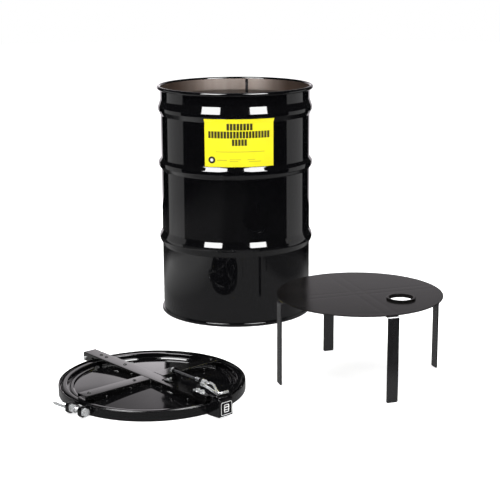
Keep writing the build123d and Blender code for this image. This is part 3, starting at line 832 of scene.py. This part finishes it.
def badge():
    """Black plate with a pale rounded border and a plain drum pictogram."""
    plate = Matrix(((0, 0, 1, 0), (1, 0, 0, 0), (0, 1, 0, 0), (0, 0, 0, 1)))
    spot = IN_LID @ Matrix.Translation((HOOD_FRONT * MM, 0, HOOD_MIDDLE * MM)) @ plate

    def outline(w, h, r, steps=6):
        points = []
        for cx, cy, turn in ((1, 1, 0), (-1, 1, 90), (-1, -1, 180), (1, -1, 270)):
            for k in range(steps + 1):
                a = math.radians(turn + 90 * k / steps)
                points.append((cx * (w / 2 - r) + r * math.cos(a), cy * (h / 2 - r) + r * math.sin(a)))
        return points

    def slab(points, low, high):
        bm = bmesh.new()
        under = [bm.verts.new((x * MM, y * MM, low * MM)) for x, y in points]
        over = [bm.verts.new((x * MM, y * MM, high * MM)) for x, y in points]
        bm.faces.new(over)
        bm.faces.new(under[::-1])
        stitch(bm, [(under, over)])
        return bm

    def border(outer, inner, low, high):
        bm = bmesh.new()
        rings = [[bm.verts.new((x * MM, y * MM, z * MM)) for x, y in pts]
                 for pts, z in ((outer, low), (outer, high), (inner, high), (inner, low))]
        stitch(bm, zip(rings, rings[1:] + rings[:1]))
        return bm

    base = slab(outline(45, 43, 6), 0.02, 0.5)
    made("badge_plate", base, ["gloss"], "closure_ring", ["hood_badge"], place=spot)
    pale = [border(outline(43, 41, 5.2), outline(40, 38, 4.0), 0.45, 0.62)]
    pale.append(border(outline(19, 25, 3.0), outline(14, 20.5, 1.5), 0.45, 0.62))
    for y in (-4.2, 4.2):
        pale.append(slab([(px, py + y) for px, py in outline(21, 2.6, 1.2)], 0.45, 0.64))
    made("badge_mark", join(pale), ["print"], "closure_ring", place=spot)


# ---- Lid ----

def crown_z(r):
    """Height of the panel's top, crowned towards the middle."""
    return PANEL_Z + CROWN * (1 - min(r / PANEL_R, 1.0) ** 2)


def lid_panel():
    """The pressed lid: crowned panel, bead, groove and rim."""
    path = [Vector((r, crown_z(r))) for r in range(0, 249, 8)]
    edge = [(248.0, crown_z(248.0), 0), (251.5, PANEL_Z, 2.5), (255.5, 21.0, 2.5), (263.5, 21.0, 2.5)]
    edge += [(267.0, 16.5, 1.6), (271.0, 16.5, 1.6), (275.5, 30.0, 3.0), (289.5, 30.0, 3.5), (RIM_R, 19.5, 0)]
    path = path[:-1] + rounded(edge, 6)
    loop = path + offset(path, -1.5)[::-1]
    for point in loop:
        point.x = max(point.x, 0.0)
    bm = lathe(loop, 288)
    made("lid_panel", bm, ["gloss"], "lid", ["lid_disc"], place=IN_LID)


def gasket():
    """The rubber ring in the lid's outer groove."""
    section = [(278.8, 18.4, 1), (281, 17, 1), (288, 17, 1.4), (290.0, 18.8, 1), (290.0, 24.6, 1)]
    section += [(286.6, 28.1, 1.2), (279, 28.1, 1)]
    path = rounded(section + section[:1], 4)[1:]
    bm = lathe(path, 200)
    made("gasket_ring", bm, ["rubber"], "lid", ["lid_gasket"], place=IN_LID)


ARM_BOLTS = [(-287.0, 0.0), (-257.0, 0.0), (-150.0, 0.0), (60.0, 0.0)]
CROSS_BOLTS = [(0.0, side * d) for d in (72.0, 248.0) for side in (-1, 1)]
CROSS_RIVETS = [(flank * BAR_W / 2, side * y, flank, 0)
                for y in (104.0, 198.0) for side in (-1, 1) for flank in (-1, 1)]
ARM_RIVETS = [(x, side * ARM_W / 2, 0, side) for x in (-214.0, -80.0, 80.0, 214.0) for side in (-1, 1)]


def in_lid(x, y, z):
    return IN_LID @ Matrix.Translation((x * MM, y * MM, z * MM))


def bar_bolts():
    """Button heads on top of the bars."""
    heads = [moved(dome(6.0, 3.2, 3.0), in_lid(x, y, BAR_TOP)) for x, y in ARM_BOLTS + CROSS_BOLTS]
    made("button_bolts", join(heads), ["satin"], "lid", ["bar_bolts"])


def rivets():
    """Rivet heads on the bars' flanges, just above the panel."""
    heads = []
    for x, y, dx, dy in CROSS_RIVETS + ARM_RIVETS:
        out = Vector((dx, dy, 0)).to_track_quat("Z", "Y").to_matrix().to_4x4()
        height = crown_z(abs(x) if dy else abs(y)) + 5.5
        heads.append(moved(dome(4.2, 2.0, 2.5), in_lid(x, y, height) @ out))
    made("flange_rivet_heads", join(heads), ["satin"], "lid", ["flange_rivets"])


def saddle_bolts():
    """Hex bolts on washers on the saddle."""
    thick = 1.6
    washer = rounded([(4.2, 0, 0), (9, 0, 0.3), (9, thick, 0.4), (4.2, thick, 0), (4.2, 0, 0)])
    parts = []
    for x in (246.0, 268.0):
        parts.append(moved(lathe(washer, 64), in_lid(x, -9.0, SADDLE_TOP)))
        parts.append(moved(hexagon(13.0, 6.5), in_lid(x, -9.0, SADDLE_TOP + thick)))
    made("saddle_bolts", join(parts), ["zinc"], "lid", ["riser_bolts"])


def foot_screws():
    """The small hex screws of the rod guides' feet."""
    heads = []
    for x in (78.0, 212.0):
        for y in (4.0, 16.0):
            heads.append(moved(hexagon(8.0, 4.0), in_lid(x, y, ARM_STEP)))
    made("foot_screws", join(heads), ["zinc"], "lid", ["guide_screws"])


def spring():
    """The torsion spring: a close coil round the rod."""
    turns = 9
    lift = 2.2
    coil_r = 6.4
    points = []
    for k in range(turns * 20 + 1):
        a = 2 * math.pi * k / 20
        y = ROD_Y + coil_r * math.cos(a)
        z = ROD_Z + coil_r * math.sin(a)
        points.append(IN_LID @ (Vector((203.0 + lift * k / 20, y, z)) * MM))
    made("coil_spring", tube(points, 0.9 * MM, 10, 0), ["dark_zinc"], "lid", ["return_spring"])


def latch_bar():
    """The rod: straight in its guides with dark plate there as painted shade, then the bright crank and the
    crosswise grip.
    """
    bends = [(70.0, ROD_Y, ROD_Z, 0), (258.0, ROD_Y, ROD_Z, 12), (276.0, ROD_Y - 0.5, 85.0, 14)]
    bends += [(297.0, 13.0, 85.5, 16), (354.0, -15.0, 78.5, 7.5), (355.0, 22.0, 78.5, 0)]
    points = []
    for i, (x, y, z, bend) in enumerate(bends):
        here = Vector((x, y, z))
        if not bend:
            points.append(here)
            continue
        back = (Vector(bends[i - 1][:3]) - here).normalized()
        ahead = (Vector(bends[i + 1][:3]) - here).normalized()
        half = back.angle(ahead) / 2
        trim = bend / math.tan(half)
        middle = here + (back + ahead).normalized() * bend / math.sin(half)
        start = here + back * trim - middle
        end = here + ahead * trim - middle
        axis = start.cross(end)
        for k in range(13):
            points.append(middle + Matrix.Rotation(start.angle(end) * k / 12, 3, axis) @ start)
    mesh = mesh_from("latch_bar", tube([IN_LID @ (p * MM) for p in points], ROD_R * MM, 32))
    painted_shade_until = 232.0
    # Painted shade: the rod's faces before this point get dark plate instead of chrome
    for polygon in mesh.polygons:
        if (IN_LID.inverted() @ polygon.center).x < painted_shade_until * MM:
            polygon.material_index = 1
    finished("latch_bar", mesh, ["chrome", "dark_zinc"], "latch_handle", ["latch_rod"])


# ---- Drain table ----

def table_top():
    """The round plate, with the straps' weld lines just showing through its top."""
    rings = 76
    section = [Vector((PLATE_R * k / rings, PLATE_TOP)) for k in range(rings)]
    edge = [(PLATE_R - 3, PLATE_TOP, 0), (PLATE_R, PLATE_TOP, 0.8)]
    edge += [(PLATE_R, PLATE_TOP - PLATE_T, 0.5), (0, PLATE_TOP - PLATE_T, 0)]
    bm = lathe(section[:-1] + rounded(edge, 4), 400)
    for vert in bm.verts:
        if vert.co.z < (PLATE_TOP - 0.1) * MM:
            continue
        ridge = 0.0
        for turn in (0, math.pi / 2):
            across = -vert.co.x * math.sin(STRAP_TURN + turn) + vert.co.y * math.cos(STRAP_TURN + turn)
            away = abs(abs(across) - STRAP_W / 2 * MM)
            ridge = max(ridge, math.exp(-(away / (7 * MM)) ** 2))
        inside = min(1.0, (PLATE_R * MM - math.hypot(vert.co.x, vert.co.y)) / (25 * MM))
        vert.co.z -= 0.13 * MM * ridge * max(0.0, inside)
    mesh = mesh_from("table_top", bm, IN_TABLE)
    piece = finished("table_top", mesh, ["table"], "drain_table", ["table_plate"])
    plug = [Vector(p) for p in ((0, 270), (COLLAR_OUT, 270), (COLLAR_OUT, 300), (0, 300))]
    cutter = bpy.data.objects.new("cutter", mesh_from("cutter", lathe(plug, 96), IN_COLLAR))
    bpy.context.scene.collection.objects.link(cutter)
    cut = piece.modifiers.new("hole", "BOOLEAN")
    cut.object = cutter
    cut.operation = "DIFFERENCE"
    cut.solver = "EXACT"
    graph = bpy.context.evaluated_depsgraph_get()
    holed = bpy.data.meshes.new_from_object(piece.evaluated_get(graph))
    piece.modifiers.clear()
    piece.data = holed
    bpy.data.objects.remove(cutter)


def collar():
    """The turned collar in the plate's hole."""
    section = [(COLLAR_BORE, COLLAR_LOW, 0.5), (COLLAR_OUT, COLLAR_LOW, 0.5), (COLLAR_OUT, PLATE_TOP, 0)]
    section += [(COLLAR_OUT + 1.5, PLATE_TOP, 0), (COLLAR_OUT + 1.5, COLLAR_HIGH, 1.6)]
    section += [(COLLAR_BORE, COLLAR_HIGH, 1.4)]
    path = rounded(section + section[:1], 5)[1:]
    made("table_collar", lathe(path, 160), ["table"], "drain_table", ["hole_collar"], place=IN_COLLAR)


def table_welds():
    """Stitch welds on both edges of every strap, under the plate."""
    down = Vector((0, 0, -1))
    beads = []
    for leg in range(4):
        turn = Matrix.Rotation(STRAP_TURN + leg * math.pi / 2, 3, "Z")
        for radius in (70.0, 210.0):
            for side in (-1, 1):
                start = turn @ (Vector((radius, side * STRAP_W / 2, PLATE_TOP - PLATE_T)) * MM)
                end = turn @ (Vector((radius + 30, side * STRAP_W / 2, PLATE_TOP - PLATE_T)) * MM)
                out = turn @ Vector((0, side, 0))
                beads.append(bead(start, end, down, out, 3.6, seed=len(beads)))
    made("strap_welds", join(beads), ["table"], "drain_table", ["table_welds"], 60, place=IN_TABLE)


def ring_welds():
    """Fillet welds where the lugs and the hood stand on the ring's wall."""
    outward = Vector((1, 0, 0))
    wall = RING_R + 0.1
    beads = []
    for side in (-1, 1):
        y = side * HOOD_FLANK
        x = math.sqrt(wall ** 2 - y ** 2)
        start = Vector((x, y, 6.0)) * MM
        end = Vector((x, y, 26.0)) * MM
        beads.append(bead(start, end, outward, Vector((0, side, 0)), 3.4, seed=len(beads)))
    hood = moved(join(beads), IN_LID)
    beads = []
    for lug in (-1, 1):
        for edge in (-1, 1):
            y = lug * LUG_S + edge * LUG_HALF
            x = math.sqrt(wall ** 2 - y ** 2)
            start = Vector((x, y, 6.0)) * MM
            end = Vector((x, y, 27.0)) * MM
            out = Vector((0, edge, 0))
            beads.append(bead(start, end, outward, out, 3.2, seed=20 + len(beads)))
    lugs = moved(join(beads), IN_SPLIT)
    made("ring_weld_beads", join([hood, lugs]), ["gloss"], "closure_ring", (), 60)


def bar_welds():
    """Corner welds where the cross-bar's halves meet the arm, and stitches along the arm's flanges."""
    beads = []
    for flank in (-1, 1):
        for side in (-1, 1):
            corner = Vector((flank * BAR_W / 2, side * ARM_W / 2, 0))
            start = (corner + Vector((0, 0, PANEL_Z + CROWN + 1))) * MM
            end = (corner + Vector((0, 0, BAR_TOP - 5))) * MM
            along, out = Vector((flank, 0, 0)), Vector((0, side, 0))
            beads.append(bead(start, end, along, out, 3.0, seed=40 + len(beads)))
    for x in (-180.0, -60.0, 110.0):
        for side in (-1, 1):
            start = Vector((x, side * ARM_W / 2, crown_z(abs(x)))) * MM
            end = Vector((x + 28, side * ARM_W / 2, crown_z(abs(x + 28)))) * MM
            up, out = Vector((0, 0, 1)), Vector((0, side, 0))
            beads.append(bead(start, end, up, out, 3.0, seed=60 + len(beads)))
    made("bar_weld_beads", join(beads), ["satin"], "lid", (), 60, place=IN_LID)


def softened_plates():
    """The folded and cut plates that keep their CAD shape, with broken edges."""
    plates = (("satin", 0.5, ("lid_arm", "cross_bar_near", "cross_bar_far")),
              ("gloss", 0.5, ("latch_hood", "hinge_bracket", "ring_lug_head_end", "ring_lug_thread_end")),
              ("satin", 0.5, ("latch_riser", "rod_guide_rear", "rod_guide_front")),
              ("zinc", 0.5, ("latch_dog",)),
              ("legs", 0.6, ("leg_strap_long", "leg_strap_front", "leg_strap_back")))
    for key, width, nodes in plates:
        for node in nodes:
            softened(node, width, key)


def dress_cad_nodes():
    """Materials for the CAD nodes that stay as they are."""
    kept = {"hinge_pin": "zinc", "latch_striker": "zinc", "rod_collar": "zinc",
            "clip_angles": "satin", "bar_nuts": "dark_zinc"}
    for node, key in kept.items():
        data = frame["nodes"][node].data
        data.materials.clear()
        data.materials.append(M[key])


# ---- Studio ----

def emptied(owner):
    """Switches nodes on and returns the node tree, emptied."""
    owner.use_nodes = True
    owner.node_tree.nodes.clear()
    return owner.node_tree


def stage_floor():
    """A glowing white floor with few shadows; reflections see patches of light, fitted to the photo."""
    bm = bmesh.new()
    bmesh.ops.create_circle(bm, cap_ends=True, radius=14.0, segments=96)
    mesh = mesh_from("floor", bm)
    mat = bpy.data.materials.new("floor_sheet")
    tree = emptied(mat)
    place = put(tree, "NewGeometry").outputs["Position"]
    cloud = grain(tree, place, 2.0, 4.0)
    pale = tint(tree, cloud, rgb(0.93, 0.93, 0.93), rgb(0.90, 0.90, 0.90))
    axes = put(tree, "SeparateXYZ", {0: place})
    x, y = axes.outputs["X"], axes.outputs["Y"]
    ahead = calc(tree, "ADD", y, 0.35)
    squares = calc(tree, "ADD", calc(tree, "POWER", x, 2.0), calc(tree, "POWER", ahead, 2.0))
    out_from = calc(tree, "POWER", squares, 0.5)
    glow = span(tree, x, -0.9, -0.5, 0.55, 0.22)
    glow = times(tree, glow, span(tree, x, 0.66, 0.84, 1.0, 0.4))
    glow = times(tree, glow, span(tree, y, 0.35, 0.6, 1.0, 0.3))
    glow = times(tree, glow, span(tree, out_from, 1.15, 1.35, 1.0, 0.2))
    glow = times(tree, glow, span(tree, out_from, 2.0, 2.5, 1.0, 0.0))
    matt = put(tree, "BsdfDiffuse", {"Color": pale})
    brighter = span(tree, out_from, 1.2, 3.2, 0.74, 1.0)
    lift = put(tree, "Emission", {"Color": rgb(1.0, 1.0, 1.0), "Strength": brighter})
    seen = put(tree, "AddShader", {0: matt.outputs[0], 1: lift.outputs[0]})
    mirrored = put(tree, "Emission", {"Color": rgb(1.0, 1.0, 1.0), "Strength": glow})
    path = put(tree, "LightPath")
    choose = {0: path.outputs["Is Glossy Ray"], 1: seen.outputs[0], 2: mirrored.outputs[0]}
    mix = put(tree, "MixShader", choose)
    out = put(tree, "OutputMaterial")
    tree.links.new(mix.outputs[0], out.inputs["Surface"])
    mesh.materials.append(mat)
    floor = bpy.data.objects.new("floor", mesh)
    bpy.context.scene.collection.objects.link(floor)


def area(name, at, look, size, radiance, glossy=True, diffuse=True):
    """A soft light panel of a given radiance, which no camera sees."""
    data = bpy.data.lights.new(name, "AREA")
    data.shape = "RECTANGLE"
    data.size, data.size_y = size
    data.energy = radiance * math.pi * size[0] * size[1]
    light = bpy.data.objects.new(name, data)
    light.location = at
    light.rotation_euler = (Vector(look) - Vector(at)).to_track_quat("-Z", "Y").to_euler()
    light.visible_camera = False
    light.visible_glossy = glossy
    light.visible_diffuse = diffuse
    bpy.context.scene.collection.objects.link(light)


def backdrop():
    bm = bmesh.new()
    bmesh.ops.create_grid(bm, x_segments=1, y_segments=1, size=1.0)
    upright = Matrix.Rotation(math.pi / 2, 4, "X") @ Matrix.Diagonal((1.25, 0.94, 1, 1))
    mesh = mesh_from("backdrop", bm, Matrix.Translation((-0.05, 1.95, 0.95)) @ upright)
    mat = bpy.data.materials.new("backdrop_glow")
    tree = emptied(mat)
    spot = put(tree, "SeparateXYZ", {0: put(tree, "NewGeometry").outputs["Position"]})
    x, z = spot.outputs["X"], spot.outputs["Z"]
    power = times(tree, span(tree, z, 1.04, 1.27, 1.4, 0.62), span(tree, x, 0.0, 0.4, 1.0, 0.48))
    power = times(tree, power, span(tree, x, -0.9, -0.5, 0.55, 0.94))
    glow = put(tree, "Emission", {"Color": rgb(1.0, 0.95, 0.99), "Strength": power})
    out = put(tree, "OutputMaterial")
    tree.links.new(glow.outputs[0], out.inputs["Surface"])
    mesh.materials.append(mat)
    sheet = bpy.data.objects.new("backdrop", mesh)
    sheet.visible_camera = False
    sheet.visible_shadow = False
    bpy.context.scene.collection.objects.link(sheet)


def studio():
    """Two soft boxes, side panels, the glowing sheet, a fill, and a world only the camera sees white."""
    box_away = 2.3
    box_tall = 2.1
    for turn, width in ((-36.0, 1.38), (36.0, 1.27)):
        across, ahead = math.sin(math.radians(turn)), math.cos(math.radians(turn))
        at = (box_away * across, -box_away * ahead, 2.6)
        # Reflections see the first lamp, and the second lights the surfaces
        area("softbox", at, (0, 0, 0.6), (width, box_tall), 16.0, diffuse=False)
        area("key", at, (0, 0, 0.4), (width, box_tall), 3.6, glossy=False)
    for side in (-1, 1):
        area("side_panel", (side * 1.38, 0.218, 0.5), (0, 0.218, 0.5), (1.02, 1.0), 0.42)
    area("fill", (0, -0.5, 4.6), (0, -0.5, 0), (5.5, 5.5), 2.0, glossy=False)
    backdrop()
    world = bpy.data.worlds.new("studio")
    bpy.context.scene.world = world
    tree = emptied(world)
    path = put(tree, "LightPath")
    white = put(tree, "Background", {"Color": rgb(1, 1, 1), "Strength": 1.0})
    soft = put(tree, "Background", {"Color": rgb(1, 1, 1), "Strength": 0.25})
    dim = put(tree, "Background", {"Color": rgb(1.0, 0.98, 0.97), "Strength": 0.012})
    glossy, shown = path.outputs["Is Glossy Ray"], path.outputs["Is Camera Ray"]
    around = put(tree, "MixShader", {0: glossy, 1: soft.outputs[0], 2: dim.outputs[0]})
    final = put(tree, "MixShader", {0: shown, 1: around.outputs[0], 2: white.outputs[0]})
    out = put(tree, "OutputWorld")
    tree.links.new(final.outputs[0], out.inputs["Surface"])
    bpy.context.scene.view_settings.view_transform = "Standard"


def camera():
    """A long lens a little above the drum's rim, tipped down and a touch rolled; angles in degrees."""
    tip_down = 13.482
    roll_left = -0.31
    data = bpy.data.cameras.new("camera")
    data.sensor_width = 36.0
    data.lens = 92.48
    data.clip_end = 60.0
    view = bpy.data.objects.new("camera", data)
    tip = Matrix.Rotation(math.radians(90 - tip_down), 4, "X")
    roll = Matrix.Rotation(math.radians(roll_left), 4, "Z")
    view.matrix_world = Matrix.Translation((0.0546, -4.9324, 1.4113)) @ tip @ roll
    bpy.context.scene.collection.objects.link(view)
    bpy.context.scene.camera = view


camera()
drum_body()
drum_bottom()
drum_seam()
drum_label()
closing_ring()
closing_bolt()
lock_nut()
badge()
ring_welds()
lid_panel()
gasket()
bar_bolts()
rivets()
bar_welds()
saddle_bolts()
foot_screws()
spring()
latch_bar()
table_top()
collar()
table_welds()
softened_plates()
dress_cad_nodes()
stage_floor()
studio()
